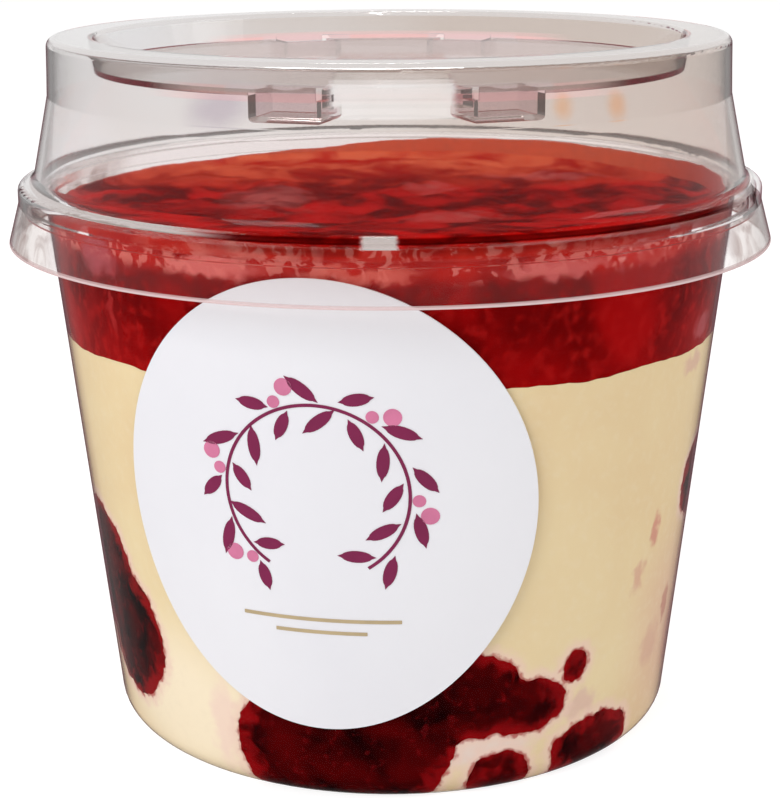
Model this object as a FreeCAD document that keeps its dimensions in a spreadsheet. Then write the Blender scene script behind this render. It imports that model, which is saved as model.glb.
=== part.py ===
import FreeCAD, Part
import os
import Sketcher

# A layered fruit dessert in a clear cup: a thin thermoformed cup with a rolled rim, a domed lid whose
# sunk top carries two pairs of hanging stacking lugs, a sticker on the wall, and inside it a layer of
# red jelly on pale cream with pieces of dark fruit that lie against the wall.
# Millimetres; +Z up; the origin is the centre of the foot; the front faces -Y; a turn is measured about
# the cup's axis in degrees, from the front towards +X.

CUP = {
    "cup_height": 70.4,     # foot to the top of the rolled rim
    "cup_base_r": 37.0,     # outside of the wall, carried down to the foot plane
    "cup_top_r": 44.4,      # outside of the wall at the rim's height
    "cup_wall": 0.7,
    "heel_r": 3.0,          # round between foot and wall, outside
    "foot_width": 8.0,      # from the wall's line in to the edge of the foot's raised middle
    "push_up": 1.6,         # how far that middle is raised
    "push_slope": 2.0,      # width of the slope that raises it
    "curl_out": 2.4,        # reach of the rolled rim beyond the wall
    "curl_drop": 2.6,       # height of the rolled rim
    "curl_round": 1.0,
}
LID = {
    "lid_wall": 0.7,
    "lid_rise": 18.8,       # from the cup's rim to the lid's top
    "lid_fit": 0.15,        # clearance between the lid and the cup's rim
    "skirt_drop": 6.6,      # from the cup's rim down to the skirt's edge
    "skirt_flare": 1.4,     # how far the skirt's edge stands out beyond its top
    "flange_round": 0.9,
    "dome_foot_in": 1.9,    # from the flange's edge in to the foot of the dome's wall
    "dome_foot_round": 1.6,
    "ledge_in": 3.95,       # from the flange's edge in to the dome's wall just under its ledge
    "ledge_rise": 10.4,     # from the cup's rim to that ledge
    "ledge_step": 0.25,     # how much narrower the wall is above the ledge
    "ledge_slope": 1.2,     # height of the slope that makes that step
    "shoulder_in": 4.45,    # from the flange's edge in to the dome's upper band
    "shoulder_round": 1.1,
    "land_width": 5.8,      # flat ring of the lid's top, before its outer round
    "recess_drop": 3.6,     # depth of the sunk top
    "recess_draft": 0.7,    # how much narrower the sunk top is at its floor
    "recess_round": 0.6,
    "lug_turn": 19.4,       # centre of a lug, from the middle of its pair
    "lug_pair_turn": 1.4,   # middle of the front pair
    "lug_half_width": 4.3,
    "lug_depth": 6.0,       # radial
    "lug_drop": 3.7,        # below the sunk floor
    "lug_round": 0.6,
    "step_drop": 1.8,       # shallow step between the lugs of a pair
    "step_depth": 3.0,
}
STICKER = {
    "sticker_thick": 0.2,
    "sticker_gap": 0.15,    # adhesive line between the sticker and the wall
    "sticker_half_width": 24.5,
    "sticker_half_height": 28.2,
    "sticker_turn": -12.1,
    "sticker_below_rim": 32.3,  # from the cup's rim down to the sticker's centre
}
FILLING = {
    "fill_gap": 0.1,        # clearance between the filling and the cup's wall
    "headroom": 3.5,        # from the cup's rim down to the jelly's top
    "jelly_thick": 14.4,
    "fruit_gap": 0.12,      # clearance between a piece of fruit and the cream that holds it
}
# Each piece of fruit is a few rounded lumps pressed against the wall. A lump is its turn, its height
# above the foot, and its half width, half height and depth into the cream.
LUMP = ("turn", "z", "half_width", "half_height", "depth")
FRUIT = {
    "fruit_front": [
        (-19.0, 7.0, 7.4, 7.0, 7.0),
        (-4.0, 8.0, 10.0, 9.0, 9.0),
        (12.0, 13.6, 8.2, 6.0, 8.0),
        (24.5, 11.2, 6.4, 3.6, 6.0),
    ],
    "fruit_left": [
        (-70.5, 22.0, 9.4, 9.4, 8.0),
        (-61.5, 15.5, 8.6, 9.2, 8.0),
    ],
    "fruit_right": [(42.5, 3.6, 6.8, 3.6, 6.0)],
    "fruit_low": [(20.5, 2.9, 4.0, 2.6, 4.0)],
    "fruit_edge": [(75.0, 33.4, 6.0, 5.4, 5.0)],
    "fruit_bead": [(35.6, 15.2, 1.9, 2.2, 2.0)],
}
LUG_GROUPS = 2              # a pair at the front and one at the back
REACH = 60.0                # larger than any radius of the cup: size of a trimming tool

# Places that several pieces share, as expressions of the sizes above.
LID_TOP = "(cup_height + lid_rise)"
SUNK_Z = "(cup_height + lid_rise - recess_drop)"
FLANGE_R = "(cup_top_r + curl_out + lid_fit + lid_wall)"
SHOULDER_R = f"({FLANGE_R} - shoulder_in)"
LAND_R = f"({SHOULDER_R} - land_width)"
SUNK_R = f"({LAND_R} - recess_draft)"
FLANGE_Z = "(cup_height + lid_fit + lid_wall)"
LEDGE_Z = "(cup_height + ledge_rise)"
SKIRT_Z = "(cup_height - skirt_drop)"
LUG_SIDE_X = f"({SUNK_R} * sin(lug_turn * 1deg) - lug_half_width)"
PUSH_R = "(cup_base_r - foot_width)"
JELLY_TOP = "(cup_height - headroom)"
CREAM_TOP = f"({JELLY_TOP} - jelly_thick)"


def size_sheet(doc):
    """Writes every driving size into one spreadsheet, one alias to a row."""
    sheet = doc.addObject("Spreadsheet::Sheet", "Sizes")
    rows = {}
    for group in (CUP, LID, STICKER, FILLING):
        rows.update(group)
    for piece, lumps in FRUIT.items():
        for index, lump in enumerate(lumps):
            rows.update({f"{piece}_{index}_{word}": value for word, value in zip(LUMP, lump)})
    for row, (alias, value) in enumerate(rows.items(), start=1):
        sheet.set(f"A{row}", alias)
        sheet.set(f"B{row}", str(value))
        sheet.setAlias(f"B{row}", alias)
    doc.recompute()
    return sheet


def named(expression):
    """Puts the sheet's name before each alias of an expression written with bare aliases."""
    words = []
    word = ""
    for letter in expression + " ":
        if letter.isalnum() or letter == "_":
            word += letter
            continue
        is_alias = word and not word[0].isdigit() and letter != "("
        words.append(f"Sizes.{word}" if is_alias else word)
        words.append(letter)
        word = ""
    return "".join(words).strip()


def bind(item, prop, expression):
    item.setExpression(prop, named(expression))


def reckon(item, expression):
    """The present value of an expression, as a plain number."""
    value = item.evalExpression(named(expression))
    return float(getattr(value, "Value", value))


def origin_part(body, role):
    return next(f for f in body.Origin.OriginFeatures if f.Role == role)


def outline(body, name, role, corners, lift=None):
    """A closed sketch through corners given as pairs of expressions, each held by two dimensions."""
    doc = body.Document
    sketch = body.newObject("Sketcher::SketchObject", name)
    sketch.AttachmentSupport = [(origin_part(body, role), "")]
    sketch.MapMode = "FlatFace"
    if lift:
        bind(sketch, "AttachmentOffset.Base.z", lift)
    doc.recompute()
    places = []
    for across, up in corners:
        places.append(FreeCAD.Vector(reckon(sketch, across), reckon(sketch, up), 0))
    count = len(places)
    for i in range(count):
        sketch.addGeometry(Part.LineSegment(places[i], places[(i + 1) % count]), False)
    for i in range(count):
        sketch.addConstraint(Sketcher.Constraint("Coincident", i, 2, (i + 1) % count, 1))
    for i, (across, up) in enumerate(corners):
        for kind, text, value in (("DistanceX", across, places[i].x), ("DistanceY", up, places[i].y)):
            held = sketch.addConstraint(Sketcher.Constraint(kind, -1, 1, i, 1, value))
            bind(sketch, f"Constraints[{held}]", text)
    doc.recompute()
    return sketch


def spin(body, sketch, kind, name):
    """Turns a sketch of the upright plane fully about the cup's axis, adding or cutting."""
    turned = body.newObject(kind, name)
    turned.Profile = sketch
    turned.ReferenceAxis = (sketch, ["V_Axis"])
    turned.Angle = 360.0
    body.Document.recompute()
    return turned


def ring_edges(feature, z, radius, slack=0.05):
    """Names of the circular edges that lie at a height and radius."""
    found = []
    for index, edge in enumerate(feature.Shape.Edges, start=1):
        curve = edge.Curve
        if not hasattr(curve, "Radius") or not hasattr(curve, "Center"):
            continue
        if abs(curve.Center.z - z) < slack and abs(curve.Radius - radius) < slack:
            found.append(f"Edge{index}")
    return found


def round_ring(body, name, z, radius, size):
    """Rounds the circular edge at a height and radius, all three given as expressions."""
    base = body.Tip
    edges = ring_edges(base, reckon(base, z), reckon(base, radius))
    if not edges:
        raise RuntimeError(f"{name}: {body.Name} has no edge at height {z} and radius {radius}")
    rounded = body.newObject("PartDesign::Fillet", name)
    rounded.Base = (base, edges)
    bind(rounded, "Radius", size)
    body.Document.recompute()
    return rounded


def wall_r(z, inward="0"):
    """Radius of the cup's wall at a height, less a distance inward, as an expression."""
    slope = "(cup_top_r - cup_base_r) / cup_height"
    return f"cup_base_r + {slope} * ({z}) - ({inward})"


def inner_profile(gap, top):
    """Half section of the cup's inside, drawn in by a gap, up to a height."""
    floor = f"cup_wall + {gap}"
    inset = f"cup_wall + {gap}"
    return [
        ("0", f"push_up + {floor}"),
        (f"{PUSH_R} - push_slope", f"push_up + {floor}"),
        (PUSH_R, floor),
        (wall_r(floor, inset), floor),
        (wall_r(top, inset), top),
        ("0", top),
    ]


def make_cup(doc):
    """One thermoformed sheet: raised foot, tapering wall, and a rim rolled outwards and down."""
    body = doc.addObject("PartDesign::Body", "cup")
    outside = outline(body, "cup_outside", "XZ_Plane", [
        ("0", "push_up"),
        (f"{PUSH_R} - push_slope", "push_up"),
        (PUSH_R, "0"),
        ("cup_base_r", "0"),
        ("cup_top_r", "cup_height"),
        ("0", "cup_height"),
    ])
    spin(body, outside, "PartDesign::Revolution", "cup_solid")
    inside = outline(body, "cup_inside", "XZ_Plane", inner_profile("0", "cup_height"))
    spin(body, inside, "PartDesign::Groove", "cup_cavity")
    round_ring(body, "cup_inner_heel", "cup_wall", wall_r("cup_wall", "cup_wall"), "heel_r - cup_wall")
    round_ring(body, "cup_heel", "0", "cup_base_r", "heel_r")
    curl = outline(body, "curl_section", "XZ_Plane", [
        ("cup_top_r - cup_wall", "cup_height - cup_wall"),
        ("cup_top_r - cup_wall", "cup_height"),
        ("cup_top_r + curl_out", "cup_height"),
        ("cup_top_r + curl_out", "cup_height - curl_drop"),
        ("cup_top_r + curl_out - cup_wall", "cup_height - curl_drop"),
        ("cup_top_r + curl_out - cup_wall", "cup_height - cup_wall"),
    ])
    spin(body, curl, "PartDesign::Revolution", "curl")
    round_ring(body, "curl_edge", "cup_height", "cup_top_r + curl_out", "curl_round")
    return body


def lid_section(wall):
    """Half section of the lid's outside, or of its inside when drawn in by its wall."""
    return [
        ("0", f"{SUNK_Z} - {wall}"),
        (f"{SUNK_R} + {wall}", f"{SUNK_Z} - {wall}"),
        (f"{LAND_R} + {wall}", f"{LID_TOP} - {wall}"),
        (f"{SHOULDER_R} - {wall}", f"{LID_TOP} - {wall}"),
        (f"{FLANGE_R} - ledge_in - ledge_step - {wall}", f"{LEDGE_Z} + ledge_slope"),
        (f"{FLANGE_R} - ledge_in - {wall}", LEDGE_Z),
        (f"{FLANGE_R} - dome_foot_in - {wall}", f"{FLANGE_Z} - {wall}"),
        (f"{FLANGE_R} - {wall}", f"{FLANGE_Z} - {wall}"),
        (f"{FLANGE_R} - {wall}", "cup_height - curl_drop * 0.6"),
        (f"{FLANGE_R} + skirt_flare - {wall}", SKIRT_Z),
        ("0", SKIRT_Z),
    ]


def lug_corners(middle, half_width, outer, inner):
    """Corners of a box-shaped lug: its middle as a turn, its half width, its outer and inner reach."""
    corners = []
    for reach, side in ((outer, "-1"), (outer, "1"), (inner, "1"), (inner, "-1")):
        across = f"({reach}) * sin({middle}) + ({side}) * ({half_width}) * cos({middle})"
        along = f"({side}) * ({half_width}) * sin({middle}) - ({reach}) * cos({middle})"
        corners.append((across, along))
    return corners


def round_lugs(body):
    """Rounds the lower outer edges of the lugs, as thermoforming leaves them."""
    base = body.Tip
    foot_z = reckon(base, f"{SUNK_Z} - lug_drop")
    edges = []
    for index, edge in enumerate(base.Shape.Edges, start=1):
        box = edge.BoundBox
        if abs(box.ZMin - foot_z) < 0.01 and box.XLength + box.YLength > 1:
            edges.append(f"Edge{index}")
    rounded = body.newObject("PartDesign::Fillet", "lug_rounds")
    rounded.Base = (base, edges)
    bind(rounded, "Radius", "lug_round")
    body.Document.recompute()


def hang_lugs(body):
    """Hangs two lugs and the shallow step between them from the sunk floor, then hollows them."""
    doc = body.Document
    left = "((lug_pair_turn - lug_turn) * 1deg)"
    right = "((lug_pair_turn + lug_turn) * 1deg)"
    centre = "(lug_pair_turn * 1deg)"
    lugs = [
        ("left_lug", left, "lug_half_width", "lug_half_width - lid_wall", "lug_depth", "lug_drop"),
        ("right_lug", right, "lug_half_width", "lug_half_width - lid_wall", "lug_depth", "lug_drop"),
        ("lug_step", centre, f"{LUG_SIDE_X} + lid_wall / 2", f"{LUG_SIDE_X} + lid_wall * 1.5",
         "step_depth", "step_drop"),
    ]
    made = []
    for name, middle, half, _, depth, drop in lugs:
        foot = lug_corners(middle, half, f"{SUNK_R} + lid_wall", f"{SUNK_R} - {depth}")
        pad = body.newObject("PartDesign::Pad", f"{name}_outside")
        pad.Profile = outline(body, f"{name}_foot", "XY_Plane", foot, lift=f"{SUNK_Z} - lid_wall / 2")
        bind(pad, "Length", f"{drop} - lid_wall / 2")
        pad.Reversed = True
        doc.recompute()
        made.append(pad)
    for name, middle, _, half, depth, drop in lugs:
        mouth = lug_corners(middle, half, SUNK_R, f"{SUNK_R} - {depth} + lid_wall")
        hollow = body.newObject("PartDesign::Pocket", f"{name}_hollow")
        hollow.Profile = outline(body, f"{name}_mouth", "XY_Plane", mouth, lift=f"{SUNK_Z} + lid_wall / 2")
        bind(hollow, "Length", f"{drop} - lid_wall / 2")
        doc.recompute()
        made.append(hollow)
    groups = body.newObject("PartDesign::PolarPattern", "lug_groups")
    groups.Originals = made
    groups.Axis = (origin_part(body, "Z_Axis"), [""])
    groups.Angle = 360.0
    groups.Occurrences = LUG_GROUPS
    body.Tip = groups
    doc.recompute()
    round_lugs(body)


def make_lid(doc):
    """One thermoformed sheet: skirt round the cup's rim, domed wall, sunk top with stacking lugs."""
    body = doc.addObject("PartDesign::Body", "lid")
    outside = outline(body, "lid_outside", "XZ_Plane", lid_section("0"))
    spin(body, outside, "PartDesign::Revolution", "lid_solid")
    inside = outline(body, "lid_inside", "XZ_Plane", lid_section("lid_wall"))
    spin(body, inside, "PartDesign::Groove", "lid_cavity")
    round_ring(body, "lid_inner_shoulder", f"{LID_TOP} - lid_wall", f"{SHOULDER_R} - lid_wall",
               "shoulder_round - lid_wall")
    round_ring(body, "lid_shoulder", LID_TOP, SHOULDER_R, "shoulder_round")
    round_ring(body, "lid_land_edge", LID_TOP, LAND_R, "recess_round")
    round_ring(body, "lid_flange_edge", FLANGE_Z, FLANGE_R, "flange_round")
    round_ring(body, "lid_dome_foot", FLANGE_Z, f"{FLANGE_R} - dome_foot_in", "dome_foot_round")
    hang_lugs(body)
    return body


def primitive(doc, kind, name, **sizes):
    """A Part primitive whose sizes are expressions."""
    item = doc.addObject(kind, name)
    for prop, text in sizes.items():
        bind(item, prop, text)
    return item


def combine(doc, kind, name, base, tool):
    item = doc.addObject(kind, name)
    item.Base = base
    item.Tool = tool
    return item


def make_sticker(doc):
    """A thin oval sticker that follows the cup's wall: a skin of the cone cut square to the wall."""
    skins = []
    for name, gap in (("sticker_outer", "sticker_gap + sticker_thick"), ("sticker_inner", "sticker_gap")):
        skins.append(primitive(doc, "Part::Cone", name, Radius1=f"cup_base_r + {gap}",
                               Radius2=f"cup_top_r + {gap}", Height="cup_height"))
    skin = combine(doc, "Part::Cut", "sticker_skin", *skins)
    oval = primitive(doc, "Part::Ellipse", "sticker_oval", MajorRadius="sticker_half_height",
                     MinorRadius="sticker_half_width")
    centre_z = "(cup_height - sticker_below_rim)"
    lean = "atan((cup_top_r - cup_base_r) / cup_height)"
    turned = FreeCAD.Rotation(FreeCAD.Vector(0, 0, 1), reckon(oval, "sticker_turn"))
    tipped = FreeCAD.Rotation(FreeCAD.Vector(1, 0, 0), 90 + reckon(oval, lean))
    facing = turned.multiply(tipped)
    out = facing.multVec(FreeCAD.Vector(0, 0, 1))
    middle = turned.multVec(FreeCAD.Vector(0, -reckon(oval, wall_r(centre_z)), 0))
    middle.z = reckon(oval, centre_z)
    major_upright = FreeCAD.Rotation(FreeCAD.Vector(0, 0, 1), 90)
    half_depth = reckon(oval, "cup_top_r") / 2
    oval.Placement = FreeCAD.Placement(middle - out * half_depth, facing.multiply(major_upright))
    doc.recompute()
    punch = doc.addObject("Part::Extrusion", "sticker_punch")
    punch.Base = oval
    punch.DirMode = "Custom"
    punch.Dir = out
    punch.Solid = True
    bind(punch, "LengthFwd", "cup_top_r")
    return combine(doc, "Part::Common", "sticker", skin, punch)


def make_core(doc):
    """The space inside the cup up to the jelly's top, less a small clearance from the wall."""
    body = doc.addObject("PartDesign::Body", "filling_space")
    section = outline(body, "filling_section", "XZ_Plane", inner_profile("fill_gap", JELLY_TOP))
    spin(body, section, "PartDesign::Revolution", "filling_solid")
    inset = "cup_wall + fill_gap"
    round_ring(body, "filling_heel", inset, wall_r(inset, inset), f"heel_r - {inset}")
    return body


def make_lump(doc, name, source, grow):
    """One rounded lump centred on the inside of the wall, grown on every side by a clearance."""
    lump = primitive(doc, "Part::Ellipsoid", name, Radius1=f"{source}_half_height + {grow}",
                     Radius2=f"{source}_half_width + {grow}", Radius3=f"{source}_depth + {grow}")
    reach = wall_r(f"{source}_z", "cup_wall + fill_gap")
    bind(lump, "Placement.Base.x", f"({reach}) * sin({source}_turn * 1deg)")
    bind(lump, "Placement.Base.y", f"-({reach}) * cos({source}_turn * 1deg)")
    bind(lump, "Placement.Base.z", f"{source}_z")
    lump.Placement.Rotation = FreeCAD.Rotation(FreeCAD.Vector(0, 0, 1), reckon(lump, f"{source}_turn"))
    return lump


def joined_lumps(doc, name, grow):
    """All the lumps of one piece of fruit as one solid."""
    tag = "bed" if grow != "0" else "lump"
    lumps = [make_lump(doc, f"{name}_{i}_{tag}", f"{name}_{i}", grow) for i in range(len(FRUIT[name]))]
    if len(lumps) == 1:
        return lumps[0]
    joined = doc.addObject("Part::MultiFuse", f"{name}_{tag}")
    joined.Shapes = lumps
    return joined


def make_filling(doc):
    """The cream, the jelly that lies on it, and the pieces of fruit bedded in the cream at the wall."""
    core = make_core(doc)
    below = primitive(doc, "Part::Cylinder", "cream_depth", Height=CREAM_TOP)
    below.Radius = REACH
    low = combine(doc, "Part::Common", "cream_space", core, below)
    made = [combine(doc, "Part::Cut", "jelly", core, below)]
    beds = []
    for name in FRUIT:
        made.append(combine(doc, "Part::Common", name, low, joined_lumps(doc, name, "0")))
        beds.append(joined_lumps(doc, name, "fruit_gap"))
    bed = doc.addObject("Part::MultiFuse", "fruit_beds")
    bed.Shapes = beds
    made.append(combine(doc, "Part::Cut", "cream", low, bed))
    return made


def check(doc, pieces):
    """Stops unless every object was worked out and every piece is one or more sound solids."""
    failed = [o.Name for o in doc.Objects if "Invalid" in o.State or "Error" in o.State]
    for piece in pieces:
        shape = piece.Shape
        if shape.isNull() or not shape.isValid() or not shape.Solids:
            failed.append(piece.Label)
    if failed:
        raise RuntimeError("not built: " + ", ".join(failed))


def main():
    doc = FreeCAD.newDocument("dessert_cup")
    size_sheet(doc)
    pieces = [make_cup(doc), make_lid(doc), make_sticker(doc)] + make_filling(doc)
    doc.recompute()
    check(doc, pieces)
    os.makedirs("parts", exist_ok=True)
    for piece in pieces:
        piece.Label = piece.Name
        piece.Shape.exportStep(f"parts/{piece.Label}.step")
        print(f"{piece.Label}: {len(piece.Shape.Solids)} solid(s), {piece.Shape.Volume / 1000:.2f} cm3")


main()
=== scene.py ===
import math

import bpy
from mathutils import Matrix, Vector
from mathutils.bvhtree import BVHTree


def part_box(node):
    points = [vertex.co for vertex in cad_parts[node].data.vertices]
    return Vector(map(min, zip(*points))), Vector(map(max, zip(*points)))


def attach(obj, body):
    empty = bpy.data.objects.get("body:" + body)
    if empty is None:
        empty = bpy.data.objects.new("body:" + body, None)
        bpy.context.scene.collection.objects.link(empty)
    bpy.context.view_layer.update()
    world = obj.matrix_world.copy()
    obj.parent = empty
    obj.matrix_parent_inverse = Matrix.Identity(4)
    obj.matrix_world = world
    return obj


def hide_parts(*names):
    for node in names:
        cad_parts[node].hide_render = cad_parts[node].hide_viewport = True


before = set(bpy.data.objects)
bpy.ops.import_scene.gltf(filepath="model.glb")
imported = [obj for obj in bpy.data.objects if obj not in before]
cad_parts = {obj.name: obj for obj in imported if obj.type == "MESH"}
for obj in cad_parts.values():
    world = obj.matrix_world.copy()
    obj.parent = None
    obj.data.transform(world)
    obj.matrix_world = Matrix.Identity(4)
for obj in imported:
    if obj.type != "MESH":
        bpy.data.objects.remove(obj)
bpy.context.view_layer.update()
MM = 0.001

# --- Cup -----------------------------------------------------------------------------------------
# A thin thermoformed cup of clear PET with a rolled rim. Its CAD shape stays; the plastic is nearly
# colourless, with a painted dark, a little purple reflection where the wall is seen edge on.

CLEAR_TINT = (0.97, 0.95, 0.95, 1.0)
# Painted dark reflection where the plastic is seen edge on.
EDGE_REFLECTION_TINT = (0.34, 0.19, 0.22, 1.0)
# Painted dark red reflection of the jelly along the lid flange's edge.
RED_REFLECTION_LINE = (0.32, 0.03, 0.03, 1.0)
RIM_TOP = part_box("cup")[1][2]
OUTSIDE = 60 * MM           # farther out than any piece
GLINT_FROM = -2.7 * MM      # the short stretch of rim and flange where the light catches
GLINT_TO = 0.4 * MM


def new_material(name):
    """A material with its Principled shader; gives both and the material's node tree."""
    made = bpy.data.materials.new(name)
    made.use_nodes = True
    tree = made.node_tree
    return made, tree, tree.nodes["Principled BSDF"]


def new_group(name, takes, gives):
    """An empty node group, its inputs named with their values and its outputs named."""
    made = bpy.data.node_groups.new(name, "ShaderNodeTree")
    for socket, value in takes.items():
        kind = "NodeSocketVector" if isinstance(value, tuple) else "NodeSocketFloat"
        made.interface.new_socket(socket, in_out="INPUT", socket_type=kind).default_value = value
    for socket in gives:
        made.interface.new_socket(socket, in_out="OUTPUT", socket_type="NodeSocketFloat")
    return made, made.nodes.new("NodeGroupInput").outputs, made.nodes.new("NodeGroupOutput").inputs


def add_node(tree, kind, settings=None, **inputs):
    """One node: its own settings by name, its inputs by name as values or as sockets to link."""
    made = tree.nodes.new(kind)
    for key, value in (settings or {}).items():
        setattr(made, key, value)
    for key, value in inputs.items():
        socket = made.inputs[int(key[1:])] if key[1:].isdigit() else made.inputs[key.replace("_", " ")]
        if isinstance(value, bpy.types.NodeSocket):
            tree.links.new(value, socket)
        else:
            socket.default_value = value
    return made


def object_place(tree):
    """The object's own coordinates, in metres."""
    return add_node(tree, "ShaderNodeTexCoord").outputs["Object"]


def noise(tree, scale, detail, distortion=0.0):
    """A cloudy pattern on the object's own coordinates."""
    return add_node(tree, "ShaderNodeTexNoise", Vector=object_place(tree), Scale=scale, Detail=detail,
                    Distortion=distortion).outputs["Fac"]


def reckon(tree, operation, *values):
    """One sum on values or sockets."""
    given = {f"i{i}": value for i, value in enumerate(values)}
    return add_node(tree, "ShaderNodeMath", {"operation": operation}, **given).outputs[0]


def times(tree, first, *others):
    """The product of masks and shares."""
    for other in others:
        first = reckon(tree, "MULTIPLY", first, other)
    return first


def ramp(tree, value, low, high, start=0.0, end=1.0, kind="LINEAR"):
    """Runs from start to end while a value goes from low to high."""
    return add_node(tree, "ShaderNodeMapRange", {"interpolation_type": kind}, Value=value, From_Min=low,
                    From_Max=high, To_Min=start, To_Max=end).outputs["Result"]


def soft_ramp(tree, value, low, high, start=0.0, end=1.0):
    """The same, eased at both ends."""
    return ramp(tree, value, low, high, start, end, "SMOOTHSTEP")


def band(tree, value, low, high, soft):
    """A mask that is 1 where a value lies between two bounds, with soft ends."""
    return times(tree, soft_ramp(tree, value, low - soft, low),
                 soft_ramp(tree, value, high, high + soft, 1.0, 0.0))


def mix_colours(tree, share, first, second):
    """A colour between two, by a share that is a value or a socket."""
    return add_node(tree, "ShaderNodeMix", {"data_type": "RGBA"}, i0=share, i6=first, i7=second).outputs[2]


def mix_shaders(tree, share, first, second):
    """A shader between two."""
    return add_node(tree, "ShaderNodeMixShader", i0=share, i1=first, i2=second).outputs[0]


def ripple_group():
    """Faint waves in moulded sheet, and the small changes of roughness that go with them."""
    made, takes, gives = new_group("sheet_ripple", {"Scale": 90.0}, ("Height", "Roughness"))
    waves = noise(made, takes["Scale"], 2.0)
    made.links.new(waves, gives["Height"])
    made.links.new(ramp(made, waves, 0.0, 1.0, 0.02, 0.08), gives["Roughness"])
    return made


sheet_ripple = ripple_group()


def clear_plastic(name, plain, tint, alpha_of, painted_line_of, ior, ripple, edge_from):
    """Clear moulded plastic. Lamps and soft light pass straight through it to what is inside."""
    made, tree, shader = new_material(name)
    shader.inputs["Transmission Weight"].default_value = 1.0
    shader.inputs["IOR"].default_value = ior
    place = object_place(tree)
    tree.links.new(alpha_of(tree, place), shader.inputs["Alpha"])
    waves = add_node(tree, "ShaderNodeGroup", {"node_tree": sheet_ripple}).outputs
    bump = add_node(tree, "ShaderNodeBump", Strength=ripple, Distance=0.4 * MM, Height=waves["Height"])
    tree.links.new(bump.outputs["Normal"], shader.inputs["Normal"])
    tree.links.new(waves["Roughness"], shader.inputs["Roughness"])
    if callable(tint):
        tree.links.new(tint(tree, place), shader.inputs["Base Color"])
    else:
        shader.inputs["Base Color"].default_value = tint
    # Painted reflection: the sheet turns dark, a little purple, where it is seen edge on.
    facing = add_node(tree, "ShaderNodeLayerWeight", Blend=0.5).outputs["Facing"]
    normal = add_node(tree, "ShaderNodeNewGeometry").outputs["Normal"]
    rise = add_node(tree, "ShaderNodeSeparateXYZ", Vector=normal).outputs["Z"]
    painted_edge = times(tree, soft_ramp(tree, facing, edge_from, 1.0), band(tree, rise, -0.7, 0.7, 0.2))
    painted_line_tint = EDGE_REFLECTION_TINT
    # Where a material has a line mask, a painted dark red reflection is laid along it too.
    if painted_line_of:
        on_painted_line = painted_line_of(tree, place)
        painted_line_tint = mix_colours(tree, on_painted_line, EDGE_REFLECTION_TINT, RED_REFLECTION_LINE)
        painted_edge = reckon(tree, "MAXIMUM", painted_edge, on_painted_line)
    line = add_node(tree, "ShaderNodeBsdfTransparent", Color=painted_line_tint).outputs[0]
    lined = mix_shaders(tree, painted_edge, shader.outputs[0], line)
    path = add_node(tree, "ShaderNodeLightPath").outputs
    straight = reckon(tree, "MAXIMUM", path["Is Shadow Ray"], path["Is Diffuse Ray"])
    straight = reckon(tree, "MAXIMUM", straight, path["Is Reflection Ray"])
    through = add_node(tree, "ShaderNodeBsdfTransparent", Color=plain).outputs[0]
    tree.links.new(mix_shaders(tree, straight, lined, through),
                   tree.nodes["Material Output"].inputs["Surface"])
    return made


def off_glint(tree, across):
    """A mask that is 0 in the short stretch where the light catches, else 1."""
    return reckon(tree, "SUBTRACT", 1.0, band(tree, across, GLINT_FROM, GLINT_TO, 0.8 * MM))


def cup_alpha(tree, place):
    """The rolled rim hardly shows where its front lies under the lid's flange."""
    x, y, z = add_node(tree, "ShaderNodeSeparateXYZ", Vector=place).outputs
    top = times(tree, band(tree, z, RIM_TOP - 1.4 * MM, RIM_TOP + 1 * MM, 0.2 * MM),
                band(tree, y, -OUTSIDE, 0.0, 14 * MM), off_glint(tree, x))
    return ramp(tree, top, 0.0, 1.0, 1.0, 0.10)


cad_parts["cup"].material_slots[0].material = clear_plastic(
    "clear_cup_plastic", plain=CLEAR_TINT, tint=CLEAR_TINT, alpha_of=cup_alpha, painted_line_of=None, ior=1.12,
    ripple=0.03, edge_from=0.75)

# --- Lid -----------------------------------------------------------------------------------------
# The domed push-on lid, thermoformed from the same sheet: flange, skirt, sunk top and hanging lugs.
# Its CAD shape stays. Painted reflections colour it: cooler on the left and warmer on the right, dark red
# of the jelly in the corner of the sunk floor and along the flange's edge, pink on the sunk floor, the lugs
# and the mottled sides of the skirt. Its cut edge is frosted.

# Painted reflections: the warm and cool tints of the room, and the corner, floor, lug and skirt tints of the
# red jelly.
LID_TINT = (0.89, 0.86, 0.85, 1.0)
WARM_REFLECTION_TINT = (0.775, 0.72, 0.685, 1.0)
COOL_REFLECTION_TINT = (0.872, 0.870, 0.876, 1.0)
CORNER_REFLECTION_TINT = (0.10, 0.006, 0.010, 1.0)
SKIRT_REFLECTION_DARK = (0.42, 0.33, 0.31, 1.0)
SKIRT_REFLECTION_PALE = (0.80, 0.75, 0.73, 1.0)
LUG_REFLECTION_TINT = (0.87, 0.79, 0.80, 1.0)
FLOOR_REFLECTION_TINT = (0.93, 0.74, 0.73, 1.0)
CUT_TINT = (0.74, 0.58, 0.58, 1.0)
LID_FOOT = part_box("lid")[0][2]
SUNK_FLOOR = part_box("lid")[1][2] - 3.6 * MM     # the lid's top less the depth of its sunk part
SUNK_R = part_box("lid")[1][0] - 12.2 * MM        # the sunk floor's radius, from the skirt's
FLANGE_TOP = RIM_TOP + 0.8 * MM                 # the flange lies on the cup's rim


def reckon_vector(tree, operation, *values):
    """One vector sum; a length comes out as a value."""
    given = {f"i{i}": value for i, value in enumerate(values)}
    made = add_node(tree, "ShaderNodeVectorMath", {"operation": operation}, **given)
    return made.outputs["Value" if operation == "LENGTH" else "Vector"]


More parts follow.
